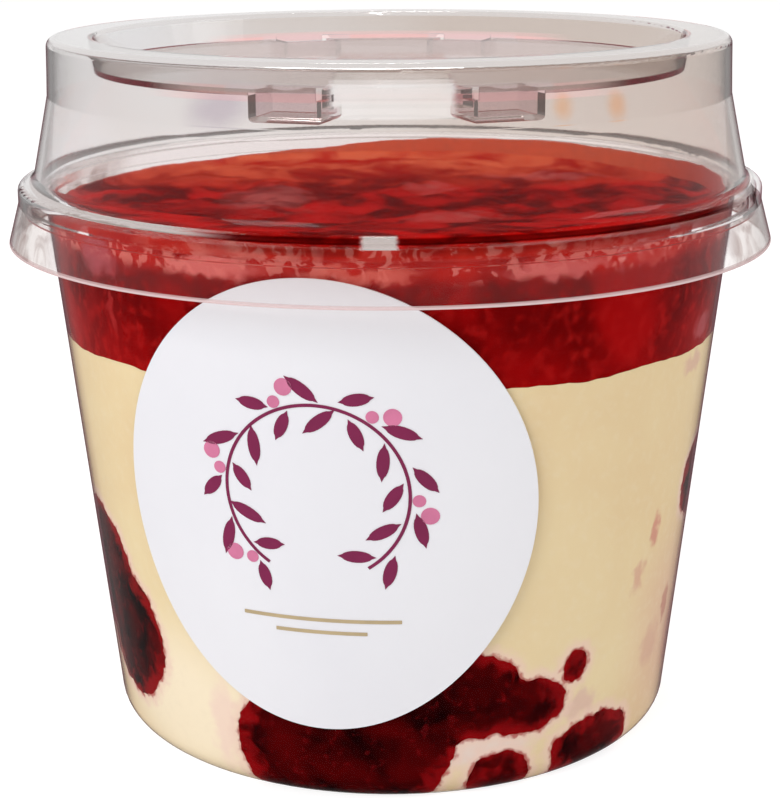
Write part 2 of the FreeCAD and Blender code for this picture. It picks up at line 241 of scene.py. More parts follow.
def ragged_spot_group():
    """A ragged spot round a centre: shared by stains, films, splashes, cloudy patches and painted light,
    shade and reflections.
    """
    made, takes, gives = new_group(
        "ragged_spot", {"Centre": (0.0, 0.0, 0.0), "Reach": (MM, MM, MM), "Ragged": 2 * MM, "Grain": 300.0,
                  "Soft": 0.5}, ("Mask",))
    place = object_place(made)
    colours = add_node(made, "ShaderNodeTexNoise", Vector=place, Scale=takes["Grain"], Detail=4.0)
    swing = reckon_vector(made, "SUBTRACT", colours.outputs["Color"], (0.5, 0.5, 0.5))
    swung = add_node(made, "ShaderNodeVectorMath", {"operation": "SCALE"}, i0=swing, Scale=takes["Ragged"])
    moved = reckon_vector(made, "ADD", place, swung.outputs[0])
    away = reckon_vector(made, "SUBTRACT", moved, takes["Centre"])
    far = reckon_vector(made, "LENGTH", reckon_vector(made, "DIVIDE", away, takes["Reach"]))
    inner = reckon(made, "SUBTRACT", 1.0, takes["Soft"])
    made.links.new(soft_ramp(made, far, inner, 1.0, 1.0, 0.0), gives["Mask"])
    return made


ragged_spot_nodes = ragged_spot_group()


def ragged_spot(tree, centre, reach, ragged_by=2.0, grain_scale=300.0, soft=0.5):
    """One spot in a material; its reach (x, y, z) and raggedness are in mm."""
    made = add_node(tree, "ShaderNodeGroup", {"node_tree": ragged_spot_nodes}, Centre=centre,
                    Reach=tuple(v * MM for v in reach), Ragged=ragged_by * MM, Grain=grain_scale, Soft=soft)
    return made.outputs["Mask"]


def from_axis(tree, place):
    """The distance from the cup's axis."""
    return reckon_vector(tree, "LENGTH", reckon_vector(tree, "MULTIPLY", place, (1.0, 1.0, 0.0)))


def lid_tint(tree, place):
    """The lid's colour, mostly painted reflections: cooler on the left, warmer on the right, dark red of the
    jelly at the sunk floor's corner, pink on the sunk floor and lugs, mottled pink in the skirt's sides; and
    spots on the inside: two orange splashes, a painted lavender reflection and a paler, clearer patch."""
    x, _, z = add_node(tree, "ShaderNodeSeparateXYZ", Vector=place).outputs
    radius = from_axis(tree, place)
    # Painted reflection of the room: cooler on the left, warmer on the right.
    reflection_sway = reckon(tree, "MULTIPLY_ADD", noise(tree, 45.0, 2.0), 60 * MM, x)
    tint = mix_colours(tree, ramp(tree, reflection_sway, -20 * MM, 45 * MM), COOL_REFLECTION_TINT, WARM_REFLECTION_TINT)
    across = reckon(tree, "ABSOLUTE", x)
    # Painted dark red reflection of the jelly in the corner of the sunk floor.
    corner_reflection = times(tree, band(tree, z, SUNK_FLOOR - 0.75 * MM, SUNK_FLOOR - 0.02 * MM, 0.1 * MM),
                   band(tree, radius, SUNK_R, SUNK_R + 1.2 * MM, 0.3 * MM),
                   band(tree, across, 18 * MM, OUTSIDE, 2 * MM))
    tint = mix_colours(tree, corner_reflection, tint, CORNER_REFLECTION_TINT)
    # Painted pink reflection of the red jelly on the middle of the sunk floor.
    floor = times(tree, band(tree, z, SUNK_FLOOR - 0.6 * MM, SUNK_FLOOR + 0.3 * MM, 0.1 * MM),
                  band(tree, across, 0.0, 20 * MM, 8 * MM))
    tint = mix_colours(tree, floor, tint, FLOOR_REFLECTION_TINT)
    # Painted pink reflection of the red jelly in the lugs.
    lug_reflection = times(tree, band(tree, across, 6 * MM, 18 * MM, 0.5 * MM),
                 band(tree, z, SUNK_FLOOR - 5.6 * MM, SUNK_FLOOR, 1 * MM),
                 band(tree, radius, 30 * MM, 38 * MM, 1 * MM))
    tint = mix_colours(tree, lug_reflection, tint, LUG_REFLECTION_TINT)
    # Painted mottled pink reflection of the red inside, on the skirt's left and right sides.
    skirt_reflection = mix_colours(tree, ramp(tree, noise(tree, 230.0, 4.0, 1.0), 0.38, 0.56), SKIRT_REFLECTION_DARK, SKIRT_REFLECTION_PALE)
    skirt_reflection = mix_colours(tree, band(tree, across, 42 * MM, OUTSIDE, 5 * MM), CLEAR_TINT, skirt_reflection)
    tint = mix_colours(tree, band(tree, z, 0.0, FLANGE_TOP - 1.5 * MM, 1 * MM), tint, skirt_reflection)
    # Two orange splashes at the back right, a painted lavender reflection at the back left, and a paler,
    # clearer patch at the back.
    for spot, reach, colour in (
            ((25.3, 35.1, 75.2), (2.5, 3.5, 3.5), (0.84, 0.56, 0.38, 1)),
            ((32.5, 28.5, 76), (2.5, 3.5, 3.5), (0.84, 0.54, 0.36, 1)),
            ((-24.8, 35.5, 75.3), (8, 8, 4.5), (0.67, 0.62, 0.67, 1)),
            ((1.5, 43, 78.8), (13, 6, 1.8), (0.99, 0.985, 0.985, 1))):
        splash_and_reflection = ragged_spot(tree, tuple(v * MM for v in spot), reach, 1.5, 250, 0.8)
        tint = mix_colours(tree, splash_and_reflection, tint, colour)
    return tint


def lid_alpha(tree, place):
    """Where the plastic hardly shows: along the front of the flange and between the front lugs."""
    x, y, z = add_node(tree, "ShaderNodeSeparateXYZ", Vector=place).outputs
    on_flange = times(tree, band(tree, z, FLANGE_TOP - 2.2 * MM, FLANGE_TOP + 0.1 * MM, 0.2 * MM),
                      band(tree, x, -12 * MM, OUTSIDE, 14 * MM), off_glint(tree, x))
    between = times(tree, band(tree, x, -6.3 * MM, 6.8 * MM, 0.7 * MM),
                    band(tree, z, SUNK_FLOOR - 2.2 * MM, SUNK_FLOOR + 1.2 * MM, 0.3 * MM))
    clear = times(tree, reckon(tree, "MAXIMUM", on_flange, between),
                  band(tree, y, -OUTSIDE, -6 * MM, 20 * MM))
    return ramp(tree, clear, 0.0, 1.0, 1.0, 0.08)


def lid_red_reflection(tree, place):
    """A painted dark red reflection of the jelly: a line round the front and right of the flange's edge."""
    x, y, z = add_node(tree, "ShaderNodeSeparateXYZ", Vector=place).outputs
    return times(tree, band(tree, z, FLANGE_TOP - 0.6 * MM, FLANGE_TOP - 0.1 * MM, 0.15 * MM),
                 band(tree, from_axis(tree, place), 46.8 * MM, OUTSIDE, 0.3 * MM),
                 band(tree, y, -OUTSIDE, -8 * MM, 16 * MM),
                 band(tree, x, -16 * MM, 36 * MM, 8 * MM), off_glint(tree, x))


def frost_cut_edge(made):
    """Whitens the skirt's cut edge, which scatters the light."""
    tree = made.node_tree
    end = tree.nodes["Material Output"].inputs["Surface"]
    height = add_node(tree, "ShaderNodeSeparateXYZ", Vector=object_place(tree)).outputs["Z"]
    at_cut = band(tree, height, 0.0, LID_FOOT + 0.22 * MM, 0.08 * MM)
    frosted = add_node(tree, "ShaderNodeBsdfDiffuse", Color=CUT_TINT).outputs[0]
    tree.links.new(mix_shaders(tree, times(tree, at_cut, 0.65), end.links[0].from_socket, frosted), end)
    return made


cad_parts["lid"].material_slots[0].material = frost_cut_edge(clear_plastic(
    "clear_lid_plastic", plain=LID_TINT, tint=lid_tint, alpha_of=lid_alpha, painted_line_of=lid_red_reflection, ior=1.20,
    ripple=0.06, edge_from=0.80))

# --- Fruit ---------------------------------------------------------------------------------------
# Soft dark red fruit, cut in pieces and bedded in the cream where it lies flat against the wall.
# Each piece keeps the outline of its CAD solid, made ragged, and reaches just into the wall.

SPACE_GAP = 0.1 * MM        # between the wall and the CAD filling
FRUIT_REACH = 0.32 * MM     # how far the fruit goes into the wall
HEEL_ROUND = 2.2 * MM       # the CAD filling's round at the foot
FOOT_WIDTH = 8.0 * MM
FOOT_SLOPE = 2.0 * MM
PUSH_UP = 1.6 * MM
WALL_SIDE = -0.2 * MM       # what lies farther out than this is the wall side
FRUIT_PUSH = 1.04           # the wall side is drawn out, then cut off at the wall
FRUIT_GRAIN = 0.45 * MM
FOOT_REACH = 2.2 * MM       # how far fruit at the heel is drawn down to the foot
FOOT_BAND = 4.0 * MM        # and the height over which it is
TURNS = 400                 # steps of a lathed filling
FLESH_DEEP = (0.006, 0.0002, 0.0004, 1.0)
FLESH_RED = (0.085, 0.0006, 0.0010, 1.0)
FLESH_RIM = (0.27, 0.0035, 0.0050, 1.0)
FLESH_SPECK = (0.24, 0.006, 0.009, 1.0)


def wide(node):
    """The radius of a round CAD node, and the height of its top."""
    low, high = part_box(node)
    return max(high[0], -low[0], high[1], -low[1]), high[2]


cream_r, cream_top = wide("cream")
jelly_r, jelly_top = wide("jelly")
foot_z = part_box("cream")[0][2]
WALL_SLOPE = (jelly_r - cream_r) / (jelly_top - cream_top)


def filling_r(z, reach):
    """Radius of a filling at a height, when it reaches so far into the wall."""
    return cream_r + WALL_SLOPE * (z - cream_top) + SPACE_GAP + reach


def steps_between(start, end, step):
    """Points on a straight run from start to end, without start."""
    count = max(1, round((Vector(end) - Vector(start)).length / step))
    return [tuple(Vector(start).lerp(Vector(end), i / count)) for i in range(1, count + 1)]


def filling_outline(reach, top, step, top_step):
    """Half section of the cup's inside up to a height, from the axis at the foot to the axis above."""
    depth = SPACE_GAP + reach
    z = foot_z - depth
    heel = HEEL_ROUND + depth
    lean = math.atan(WALL_SLOPE)
    middle = (filling_r(z + heel, reach) - heel / math.cos(lean), z + heel)
    step_in = middle[0] + HEEL_ROUND - FOOT_WIDTH
    points = [(0.0, z + PUSH_UP), (step_in - FOOT_SLOPE, z + PUSH_UP), (step_in, z), (middle[0], z)]
    for i in range(1, 7):
        turn = -math.pi / 2 + (math.pi / 2 - lean) * i / 6
        points.append((middle[0] + heel * math.cos(turn), middle[1] + heel * math.sin(turn)))
    rim = (filling_r(top, reach), top)
    points += steps_between(points[-1], rim, step)
    return points + steps_between(rim, (0.0, top), top_step)


def alone(piece):
    """Makes a piece the only selected object."""
    bpy.ops.object.select_all(action="DESELECT")
    piece.select_set(True)
    bpy.context.view_layer.objects.active = piece


def lathe(name, outline, turns):
    """A closed round body: one chain of edges drawn out from point to point, then spun about Z."""
    bpy.ops.object.select_all(action="DESELECT")
    bpy.ops.mesh.primitive_plane_add(size=MM)
    piece = bpy.context.object
    piece.name = name
    bpy.ops.object.mode_set(mode="EDIT")
    bpy.ops.mesh.merge(type="CENTER")
    bpy.ops.transform.translate(value=(outline[0][0], 0.0, outline[0][1]))
    for here, there in zip(outline, outline[1:]):
        bpy.ops.mesh.extrude_region_move(
            TRANSFORM_OT_translate={"value": (there[0] - here[0], 0.0, there[1] - here[1])})
    bpy.ops.mesh.select_all(action="SELECT")
    bpy.ops.mesh.spin(steps=turns, angle=2 * math.pi, center=(0, 0, 0), axis=(0, 0, 1))
    bpy.ops.mesh.select_all(action="SELECT")
    bpy.ops.mesh.remove_doubles(threshold=0.01 * MM)
    bpy.ops.mesh.normals_make_consistent(inside=False)
    bpy.ops.object.mode_set(mode="OBJECT")
    return piece


def pick_points(piece, test):
    """Goes into edit mode on a piece, with only the points that pass a test selected."""
    alone(piece)
    bpy.ops.object.mode_set(mode="EDIT")
    bpy.ops.mesh.select_all(action="DESELECT")
    bpy.ops.object.mode_set(mode="OBJECT")
    for point in piece.data.vertices:
        point.select = test(point.co)
    bpy.ops.object.mode_set(mode="EDIT")


def lift(piece, name, size, strength, direction="NORMAL", group="", depth=2):
    """Raises and sinks a surface by a soft cloudy pattern."""
    texture = bpy.data.textures.new(name, "CLOUDS")
    texture.noise_scale = size
    texture.noise_depth = depth
    made = piece.modifiers.new(name, "DISPLACE")
    made.texture = texture
    made.texture_coords = "GLOBAL"
    made.strength = strength
    made.mid_level = 0.5
    made.direction = direction
    made.vertex_group = group


def carve(piece, other, operation):
    """Cuts a piece by another closed body, or keeps what they share."""
    made = piece.modifiers.new("carve_" + other.name, "BOOLEAN")
    made.operation = operation
    made.object = other
    made.solver = "MANIFOLD"


def finish_shape(piece, sharp=None):
    """Applies a piece's modifiers in their order, then smooths what is less sharp than an angle."""
    alone(piece)
    for modifier in list(piece.modifiers):
        bpy.ops.object.modifier_apply(modifier=modifier.name)
    if sharp:
        bpy.ops.object.shade_smooth_by_angle(angle=math.radians(sharp))


def dress(piece, *materials):
    """Gives a piece its materials in place of any it has."""
    piece.data.materials.clear()
    for material in materials:
        piece.data.materials.append(material)


def grain_group():
    """Cloudy variation shared by the filling, the paper and the print: a broad mask and a fine one."""
    made, takes, gives = new_group("cloudy_grain", {"Broad Scale": 60.0, "Fine Scale": 600.0,
                                                    "Sharpness": 0.5}, ("Broad", "Fine"))
    half = reckon(made, "MULTIPLY", takes["Sharpness"], 0.5)
    spread = soft_ramp(made, noise(made, takes["Broad Scale"], 5.0, 0.6), reckon(made, "SUBTRACT", 0.5, half),
                       reckon(made, "ADD", 0.5, half))
    made.links.new(spread, gives["Broad"])
    made.links.new(noise(made, takes["Fine Scale"], 3.0), gives["Fine"])
    return made


cloudy_grain = grain_group()


def grain(tree, broad, fine, sharpness):
    """The shared variation, placed in a material with its own scales."""
    return add_node(tree, "ShaderNodeGroup", {"node_tree": cloudy_grain}, Broad_Scale=broad, Fine_Scale=fine,
                    Sharpness=sharpness).outputs


def fruit_material():
    """Dark crimson fruit flesh: nearly black hollows, redder where the flesh is thin."""
    made, tree, shader = new_material("dark_red_fruit")
    look = grain(tree, 170.0, 900.0, 0.42)
    flesh = mix_colours(tree, look["Broad"], FLESH_DEEP, FLESH_RED)
    inward = add_node(tree, "ShaderNodeAttribute", {"attribute_name": "from_edge"}).outputs["Fac"]
    swung = reckon(tree, "MULTIPLY_ADD", noise(tree, 330.0, 4.0, 0.5), 9.0, inward)
    flesh = mix_colours(tree, soft_ramp(tree, swung, 4.4, 6.8, 0.9, 0.0), flesh, FLESH_RIM)
    flesh = mix_colours(tree, ramp(tree, look["Fine"], 0.56, 0.72, 0.0, 0.35), flesh, FLESH_SPECK)
    tree.links.new(flesh, shader.inputs["Base Color"])
    shader.inputs["Roughness"].default_value = 0.5
    shader.inputs["Specular IOR Level"].default_value = 0.0
    return made


fruit_flesh = fruit_material()
fruit_room = lathe("fruit_room", filling_outline(FRUIT_REACH, cream_top, 4 * MM, 8 * MM), TURNS)
fruits = []
for node, swing in (("fruit_front", 1.5), ("fruit_left", 1.3), ("fruit_right", 1.1), ("fruit_low", 1.0),
                    ("fruit_edge", 0.7), ("fruit_bead", 0.8)):
    piece = bpy.data.objects.new(node + "_piece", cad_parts[node].data.copy())
    bpy.context.scene.collection.objects.link(piece)
    alone(piece)
    bpy.ops.object.mode_set(mode="EDIT")
    bpy.ops.mesh.select_all(action="SELECT")
    bpy.ops.mesh.remove_doubles(threshold=0.001 * MM)
    bpy.ops.object.mode_set(mode="OBJECT")
    pick_points(piece, lambda at: math.hypot(at.x, at.y) > filling_r(at.z, WALL_SIDE))
    bpy.ops.transform.resize(value=(FRUIT_PUSH, FRUIT_PUSH, 1.0), center_override=(0, 0, 0))
    bpy.ops.object.mode_set(mode="OBJECT")
    for point in piece.data.vertices:
        point.co.z -= FOOT_REACH * max(0.0, 1.0 - (point.co.z - foot_z) / FOOT_BAND)
    block = piece.modifiers.new("block", "REMESH")
    block.mode = "VOXEL"
    block.voxel_size = FRUIT_GRAIN
    lift(piece, "ragged_fruit", 2.6 * MM, swing * MM)
    lift(piece, "fruit_fibres", 0.9 * MM, 0.6 * MM, depth=1)
    carve(piece, fruit_room, "INTERSECT")
    finish_shape(piece, 50)
    dress(piece, fruit_flesh)
    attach(piece, "root")
    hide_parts(node)
    fruits.append(piece)
bpy.data.objects.remove(fruit_room)

# --- Cream ---------------------------------------------------------------------------------------
# Pale yellow set cream that fills the cup up to the jelly, poured round the fruit. Its top is a
# little wavy, and the fruit's juice has stained it pink along every edge and in a few smears.

CREAM_REACH = 0.26 * MM     # how far the cream goes into the wall
CREAM_WAVE = 1.1 * MM
CREAM_RIPPLE = 0.35 * MM
WAVY_DEPTH = 5 * MM         # how far down from its top the cream is moved by the waves
CREAM_DEEP = (0.80, 0.625, 0.365, 1.0)
CREAM_LIGHT = (0.85, 0.72, 0.44, 1.0)
CREAM_PAINTED_LIGHT = (0.95, 0.84, 0.62, 1.0)
CREAM_SIDE_SHADE = (0.64, 0.45, 0.24, 1.0)
CREAM_WARM_SHADE = (0.74, 0.48, 0.34, 1.0)
CREAM_SPECK = (0.86, 0.75, 0.55, 1.0)
JUICE_PINK = (0.86, 0.64, 0.53, 1.0)
JUICE_RED = (0.42, 0.05, 0.05, 1.0)
# Turn from the front in degrees, height and reach in mm, colour and share.
STAINS = (
    (55.5, 30.0, (1.6, 1.6, 3.2), (0.62, 0.24, 0.20, 1), 0.75),
    (51.0, 24.5, (1.8, 1.8, 3.0), (0.66, 0.34, 0.27, 1), 0.6),
    (66.0, 17.5, (1.5, 1.5, 3.4), (0.50, 0.20, 0.16, 1), 0.7),
    (60.0, 13.0, (3.5, 3.5, 4.0), (0.66, 0.38, 0.30, 1), 0.5),
    (73.0, 12.0, (4.5, 4.5, 7.0), (0.62, 0.30, 0.24, 1), 0.5),
    (62.0, 50.5, (4.0, 4.0, 1.6), (0.66, 0.36, 0.34, 1), 0.5),
    (38.0, 9.5, (4.2, 4.2, 2.6), (0.70, 0.44, 0.42, 1), 0.6),
    (17.0, 6.5, (9.0, 9.0, 3.6), (0.83, 0.70, 0.62, 1), 0.95),
    (29.0, 11.5, (3.5, 3.5, 4.5), (0.83, 0.68, 0.58, 1), 0.8),
    (-33.5, 8.0, (2.6, 2.6, 9.0), (0.90, 0.68, 0.58, 1), 0.7),
)


def on_wall(turn, height):
    """A point on the filling's side, by its turn from the front in degrees and its height in mm."""
    r = filling_r(height * MM, 0.0)
    return (r * math.sin(math.radians(turn)), -r * math.cos(math.radians(turn)), height * MM)


def wall_spots(tree, colour, spots, ragged_by, grain_scale):
    """Lays a list of ragged spots over a colour."""
    for turn, height, reach, spot, share in spots:
        mask = ragged_spot(tree, on_wall(turn, height), reach, ragged_by, grain_scale, 0.6)
        colour = mix_colours(tree, times(tree, mask, share), colour, spot)
    return colour


def distances(piece, name, trees):
    """Stores on each point of a piece how far it is from the nearest of some surfaces, in mm."""
    stored = piece.data.attributes.new(name, "FLOAT", "POINT")
    for point, value in zip(piece.data.vertices, stored.data):
        value.value = min(tree.find_nearest(point.co)[3] for tree in trees) / MM


cream = lathe("cream_layer", filling_outline(CREAM_REACH, cream_top, 0.8 * MM, 3 * MM), TURNS)
top_rows = cream.vertex_groups.new(name="top_rows")
for point in cream.data.vertices:
    share = (point.co.z - cream_top + WAVY_DEPTH) / WAVY_DEPTH
    if share > 0:
        top_rows.add([point.index], min(1.0, share), "REPLACE")
lift(cream, "cream_wave", 11 * MM, CREAM_WAVE, "Z", "top_rows")
lift(cream, "cream_ripple", 2.5 * MM, CREAM_RIPPLE, "Z", "top_rows")
for piece in fruits:
    carve(cream, piece, "DIFFERENCE")
finish_shape(cream, 40)
graph = bpy.context.evaluated_depsgraph_get()
distances(cream, "to_fruit", [BVHTree.FromObject(piece, graph) for piece in fruits])
cream_surface = BVHTree.FromObject(cream, graph)
for piece in fruits:
    distances(piece, "from_edge", [cream_surface])


def cream_material():
    """Pale custard yellow with stains at the fruit; painted light makes it paler low on the left, painted
    shade darker at the far sides and warmer and pinker low on the right.
    """
    made, tree, shader = new_material("pale_cream")
    look = grain(tree, 38.0, 900.0, 0.5)
    colour = mix_colours(tree, look["Broad"], CREAM_DEEP, CREAM_LIGHT)
    # Painted light: paler low on the left, where the light falls most.
    colour = mix_colours(tree, ragged_spot(tree, on_wall(-42, 8), (26, 26, 16), 5, 60, 0.8), colour, CREAM_PAINTED_LIGHT)
    # Painted shade: darker towards the far left and right sides.
    for turn, share in ((84, 0.5), (-84, 0.4)):
        dim = ragged_spot(tree, on_wall(turn, 36), (11, 18, 26), 3, 60, 0.8)
        colour = mix_colours(tree, times(tree, dim, share), colour, CREAM_SIDE_SHADE)
    # Painted shade: warmer and pinker low on the right side.
    warm_shade = ragged_spot(tree, on_wall(72, 14), (16, 20, 22), 5, 60, 0.8)
    colour = mix_colours(tree, times(tree, warm_shade, 0.8), colour, CREAM_WARM_SHADE)
    colour = mix_colours(tree, ramp(tree, look["Fine"], 0.5, 0.75, 0.0, 0.25), colour, CREAM_SPECK)
    colour = wall_spots(tree, colour, STAINS, 3.4, 520)
    near = add_node(tree, "ShaderNodeAttribute", {"attribute_name": "to_fruit"}).outputs["Fac"]
    blurred = reckon(tree, "ADD", near, ramp(tree, noise(tree, 900.0, 3.0), 0.25, 0.75, -0.5, 0.5))
    colour = mix_colours(tree, soft_ramp(tree, blurred, 0.4, 2.0, 0.75, 0.0), colour, JUICE_PINK)
    colour = mix_colours(tree, soft_ramp(tree, blurred, -0.1, 0.55, 0.8, 0.0), colour, JUICE_RED)
    tree.links.new(colour, shader.inputs["Base Color"])
    shader.inputs["Roughness"].default_value = 0.6
    shader.inputs["Specular IOR Level"].default_value = 0.0
    return made


dress(cream, cream_material())
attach(cream, "root")
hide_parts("cream")

# --- Jelly ---------------------------------------------------------------------------------------
# Set red fruit jelly poured on the cream. Its side is pressed on the wall; its open top is glossy,
# lumpy with fruit pulp and climbs a little where it wets the wall.

JELLY_REACH = 0.20 * MM     # how far the jelly goes into the wall
JELLY_SWELL = 1.7 * MM
JELLY_LUMPS = 1.1 * MM
JELLY_PULP = 0.35 * MM
WETTING = 0.9 * MM          # how far the top climbs the wall
UNDER_CREAM = 3 * MM        # the jelly's foot under the cream's top, before the cream is cut out of it
SIDE_DEEP = (0.135, 0.0006, 0.0010, 1.0)
SIDE_RED = (0.34, 0.0020, 0.0025, 1.0)
SIDE_SPECK = (0.46, 0.010, 0.009, 1.0)
LIT_DEEP = (0.36, 0.0030, 0.0020, 1.0)
LIT_RED = (0.68, 0.016, 0.008, 1.0)
PULP_PINK = (0.80, 0.24, 0.20, 1.0)
FACE_DEEP = (0.13, 0.0003, 0.0006, 1.0)
FACE_RED = (0.60, 0.0060, 0.0045, 1.0)
FACE_SPECK = (0.60, 0.020, 0.012, 1.0)
FACE_FILM_AND_REFLECTION = (0.60, 0.12, 0.115, 1.0)
BACK_RED = (0.72, 0.020, 0.010, 1.0)
BACK_PINK = (0.95, 0.22, 0.10, 1.0)
# Pale films at the wall: turn from the front in degrees, height and reach in mm, colour and share.
SIDE_FILMS = (
    (-27.0, 66.4, (8.0, 8.0, 1.6), (0.80, 0.20, 0.18, 1), 0.8),
    (26.0, 66.4, (9.0, 9.0, 1.4), (0.74, 0.16, 0.15, 1), 0.75),
    (-5.0, 66.4, (9.0, 9.0, 1.2), (0.80, 0.17, 0.13, 1), 0.7),
    (45.0, 66.0, (6.0, 6.0, 1.4), (0.60, 0.06, 0.05, 1), 0.6),
    (-52.0, 66.0, (5.0, 5.0, 3.0), (0.52, 0.10, 0.12, 1), 0.7),
    (-50.0, 59.5, (1.0, 1.0, 4.0), (0.50, 0.03, 0.03, 1), 0.5),
    (64.0, 55.0, (3.0, 3.0, 2.2), (0.48, 0.10, 0.11, 1), 0.6),
)
# Dull films on the open top, the first a painted reflection seen in the dome: place and reach in mm, and
# share.
FACE_FILMS_AND_REFLECTION = (
    # The first is a painted reflection seen in the dome, not a film.
    (-16.0, 3.0, (8.5, 13.0, 3.0), 0.75),
    (6.0, 12.0, (5.0, 7.0, 3.0), 0.7),
    (8.0, -12.0, (7.0, 7.0, 3.0), 0.7),
    (22.0, 22.0, (13.0, 5.0, 3.0), 0.7),
)


def jelly_outline():
    """Half section of the jelly, from below the cream's top up to its own top."""
    low = cream_top - UNDER_CREAM
    foot = (filling_r(low, JELLY_REACH), low)
    rim = (filling_r(jelly_top, JELLY_REACH), jelly_top)
    points = [(0.0, low)] + steps_between((0.0, low), foot, 8 * MM) + steps_between(foot, rim, 0.7 * MM)
    return points + steps_between(rim, (0.0, jelly_top), 0.6 * MM)


jelly = lathe("jelly_layer", jelly_outline(), TURNS)
open_top = jelly.vertex_groups.new(name="open_top")
at_wall = jelly.vertex_groups.new(name="at_wall")
for point in jelly.data.vertices:
    inward = filling_r(jelly_top, JELLY_REACH) - math.hypot(point.co.x, point.co.y)
    if point.co.z > jelly_top - 0.1 * MM:
        open_top.add([point.index], 0.35 + 0.65 * min(1.0, inward / (4 * MM)), "REPLACE")
        at_wall.add([point.index], max(0.0, 1.0 - inward / (1.6 * MM)) ** 2, "REPLACE")
lift(jelly, "jelly_swell", 13 * MM, JELLY_SWELL, "Z", "open_top")
lift(jelly, "jelly_lumps", 3.6 * MM, JELLY_LUMPS, "Z", "open_top")
lift(jelly, "jelly_pulp", 1.3 * MM, JELLY_PULP, "Z", "open_top")
climb = jelly.modifiers.new("climb", "DISPLACE")
climb.direction = "Z"
climb.mid_level = 0.0
climb.strength = WETTING
climb.vertex_group = "at_wall"
carve(jelly, cream, "DIFFERENCE")
finish_shape(jelly, 60)


def pulp_group():
    """Specks of pale pulp in the jelly and in the film that it leaves on the wall."""
    made, takes, gives = new_group("pulp_specks", {"Least": 0.55, "Soft": 0.05}, ("Mask",))
    low = reckon(made, "SUBTRACT", takes["Least"], takes["Soft"])
    made.links.new(soft_ramp(made, noise(made, 520.0, 3.0, 0.8), low, takes["Least"]), gives["Mask"])
    return made


pulp_specks = pulp_group()


def jelly_side():
    """The jelly as it shows through the wall: deep red, mottled, with pale films near its top."""
    made, tree, shader = new_material("red_jelly_at_wall")
    look = grain(tree, 75.0, 700.0, 0.36)
    colour = mix_colours(tree, look["Broad"], SIDE_DEEP, SIDE_RED)
    colour = mix_colours(tree, ramp(tree, look["Fine"], 0.49, 0.70, 0.0, 0.5), colour, SIDE_SPECK)
    height = add_node(tree, "ShaderNodeSeparateXYZ", Vector=object_place(tree)).outputs["Z"]
    lit = soft_ramp(tree, height, jelly_top - 2.2 * MM, jelly_top - 0.4 * MM, 0.0, 0.75)
    colour = mix_colours(tree, lit, colour, mix_colours(tree, look["Broad"], LIT_DEEP, LIT_RED))
    pulp = add_node(tree, "ShaderNodeGroup", {"node_tree": pulp_specks}, Least=0.58).outputs["Mask"]
    colour = mix_colours(tree, times(tree, pulp, lit, 0.9), colour, PULP_PINK)
    colour = wall_spots(tree, colour, SIDE_FILMS, 4.0, 380)
    tree.links.new(colour, shader.inputs["Base Color"])
    shader.inputs["Roughness"].default_value = 0.5
    shader.inputs["Specular IOR Level"].default_value = 0.0
    return made


def jelly_face():
    """The open top: glossy jelly, dark in its hollows, brighter on thin lumps, with dull pale films, one of
    them a painted reflection of the dome.
    """
    made, tree, shader = new_material("red_jelly_top")
    look = grain(tree, 115.0, 480.0, 0.26)
    colour = mix_colours(tree, look["Broad"], FACE_DEEP, FACE_RED)
    colour = mix_colours(tree, ramp(tree, look["Fine"], 0.5, 0.75, 0.0, 0.5), colour, FACE_SPECK)
    depth = add_node(tree, "ShaderNodeSeparateXYZ", Vector=object_place(tree)).outputs["Y"]
    colour = mix_colours(tree, soft_ramp(tree, depth, 8 * MM, 42 * MM, 0.0, 0.8), colour,
                         mix_colours(tree, look["Broad"], BACK_RED, BACK_PINK))
    dull = 0.0
    for x, y, reach, share in FACE_FILMS_AND_REFLECTION:
        mask = times(tree, ragged_spot(tree, (x * MM, y * MM, jelly_top), reach, 11.0, 260, 0.9), share)
        colour = mix_colours(tree, mask, colour, FACE_FILM_AND_REFLECTION)
        dull = reckon(tree, "MAXIMUM", dull, mask)
    tree.links.new(colour, shader.inputs["Base Color"])
    tree.links.new(ramp(tree, dull, 0.0, 1.0, 0.16, 0.5), shader.inputs["Roughness"])
    bump = add_node(tree, "ShaderNodeBump", Strength=0.5, Distance=0.25 * MM, Height=look["Fine"])
    tree.links.new(bump.outputs["Normal"], shader.inputs["Normal"])
    shader.inputs["IOR"].default_value = 1.36
    shader.inputs["Specular IOR Level"].default_value = 0.0
    return made


dress(jelly, jelly_side(), jelly_face())
for face in jelly.data.polygons:
    inward = filling_r(face.center.z, JELLY_REACH) - math.hypot(face.center.x, face.center.y)
    face.material_index = 1 if face.normal.z > 0.2 and inward > 0.3 * MM else 0
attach(jelly, "root")
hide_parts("jelly")

# --- Jelly film ----------------------------------------------------------------------------------
# The thin orange-red film that the jelly left on the wall above its level when it was poured, with
# a ragged upper edge: lower at the back on the left, higher at the back on the right.

FILM_THICK = 0.12 * MM
FILM_LAP = 0.8 * MM         # below the jelly's level
FILM_RISE = 2.4 * MM        # and above it
FILM_REACH = 0.05 * MM
FILM_TONGUES = 1.1 * MM
FILM_RED = (0.50, 0.004, 0.002, 1.0)
FILM_ORANGE = (0.64, 0.022, 0.009, 1.0)
FILM_BACK = (0.80, 0.17, 0.075, 1.0)
FILM_PULP = (0.84, 0.28, 0.23, 1.0)


def film_outline():
    """Closed section of the film, from just under the jelly's level up the wall."""
    low = jelly_top - FILM_LAP
    high = jelly_top + FILM_RISE
    foot = (filling_r(low, FILM_REACH), low)
    outer = [foot] + steps_between(foot, (filling_r(high, FILM_REACH), high), 0.3 * MM)
    inner = [(r - FILM_THICK, z) for r, z in reversed(outer)]
    return outer + inner + [foot]


